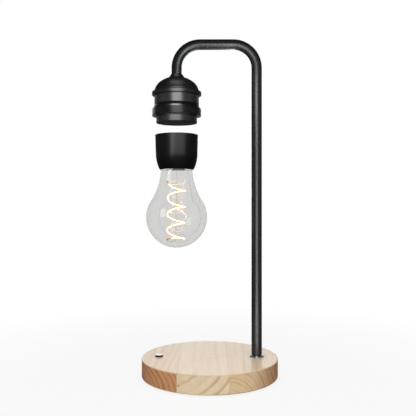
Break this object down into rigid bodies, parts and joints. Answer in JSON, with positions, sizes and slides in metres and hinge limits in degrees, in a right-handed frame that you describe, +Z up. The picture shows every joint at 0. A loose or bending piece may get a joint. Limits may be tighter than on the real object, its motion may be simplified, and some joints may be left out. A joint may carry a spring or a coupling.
{
  "type": "levitating bulb desk lamp",
  "caption": "Desk lamp with a round wooden charging base and one bent tube whose head holds a clear bulb with a spiral filament floating in the air below it.",
  "frame": {"origin": "middle of the base on the table, under the rubber feet", "axes": "+Z up, +X from the middle of the base to the pole, -Y the front, +Y the power inlet"},
  "size_m": [0.15, 0.15, 0.373],
  "materials": {
    "base_wood": "pale stave-glued hardwood, satin lacquer",
    "plate_black": "black powder coat",
    "fastener_steel": "zinc plated",
    "foot_rubber": "moulded",
    "tube_black": "satin black",
    "trim_chrome": "polished plating",
    "cable_black": "matte jacket",
    "spring_steel": "drawn wire",
    "housing_black": "moulded",
    "wire_red": "matte jacket",
    "board_green": "solder mask",
    "nylon_white": "moulded",
    "coil_copper": "enamelled copper wire",
    "ferrite_grey": "sintered sheet",
    "head_black": "satin black moulding",
    "magnet_nickel": "nickel plated",
    "core_iron": "turned",
    "cap_black": "satin black moulding",
    "board_brown": "bare laminate",
    "cement_cream": "cast cement",
    "bulb_glass": "clear blown glass",
    "stem_glass": "clear drawn glass",
    "filament_glow": "phosphor coated, lit",
    "lead_steel": "drawn wire",
    "lead_bronze": "copper coated wire"
  },
  "bodies": {
    "root": {"base_disc": "base_wood", "bottom_plate": "plate_black", "plate_screws": "fastener_steel", "rubber_feet": "foot_rubber", "arm_tube": "tube_black", "pole_collar": "trim_chrome", "pole_washer": "fastener_steel", "pole_nut": "fastener_steel", "head_lead": "cable_black", "switch_spring": "spring_steel", "switch_body": "housing_black", "switch_screws": "fastener_steel", "switch_wire": "wire_red", "power_board": "board_green", "board_standoffs": "nylon_white", "board_screws": "fastener_steel", "dc_jack": "housing_black", "jack_lead": "wire_red", "charging_coil": "coil_copper", "charging_ferrite": "ferrite_grey", "head_dome": "head_black", "head_nut": "fastener_steel", "head_shell": "head_black", "head_ring": "head_black", "head_nose": "head_black", "driver_board": "board_green", "bias_magnet": "magnet_nickel", "iron_core": "core_iron", "coil_bobbin": "nylon_white", "lift_coil": "coil_copper", "sensor_board": "board_green", "transmit_coil": "coil_copper"},
    "button": {"switch_button": "trim_chrome"},
    "float": {"float_magnet": "magnet_nickel"},
    "bulb": {"bulb_cap": "cap_black", "cap_lid": "cap_black", "receive_coil": "coil_copper", "receiver_board": "board_brown", "neck_cement": "cement_cream", "bulb_glass": "bulb_glass", "glass_stem": "stem_glass", "filament": "filament_glow", "filament_tips": "lead_steel", "upper_lead": "lead_steel", "lower_lead": "lead_bronze"}
  },
  "joints": [
    {"name": "bulb_float", "type": "slide", "parent": "root", "child": "float", "axis": [0, 0, 1], "range_m": [-0.012, 0.0126], "stiffness_N_per_m": 200, "springref_m": 0.00504},
    {"name": "bulb_spin", "type": "hinge", "parent": "float", "child": "bulb", "pos_m": [-0.0367, 0, 0.26], "axis": [0, 0, 1], "continuous": true},
    {"name": "switch_press", "type": "slide", "parent": "root", "child": "button", "axis": [0, 0, -1], "range_m": [0, 0.0012], "stiffness_N_per_m": 1500, "springref_m": -0.0008, "deforming": ["switch_spring"]}
  ]
}
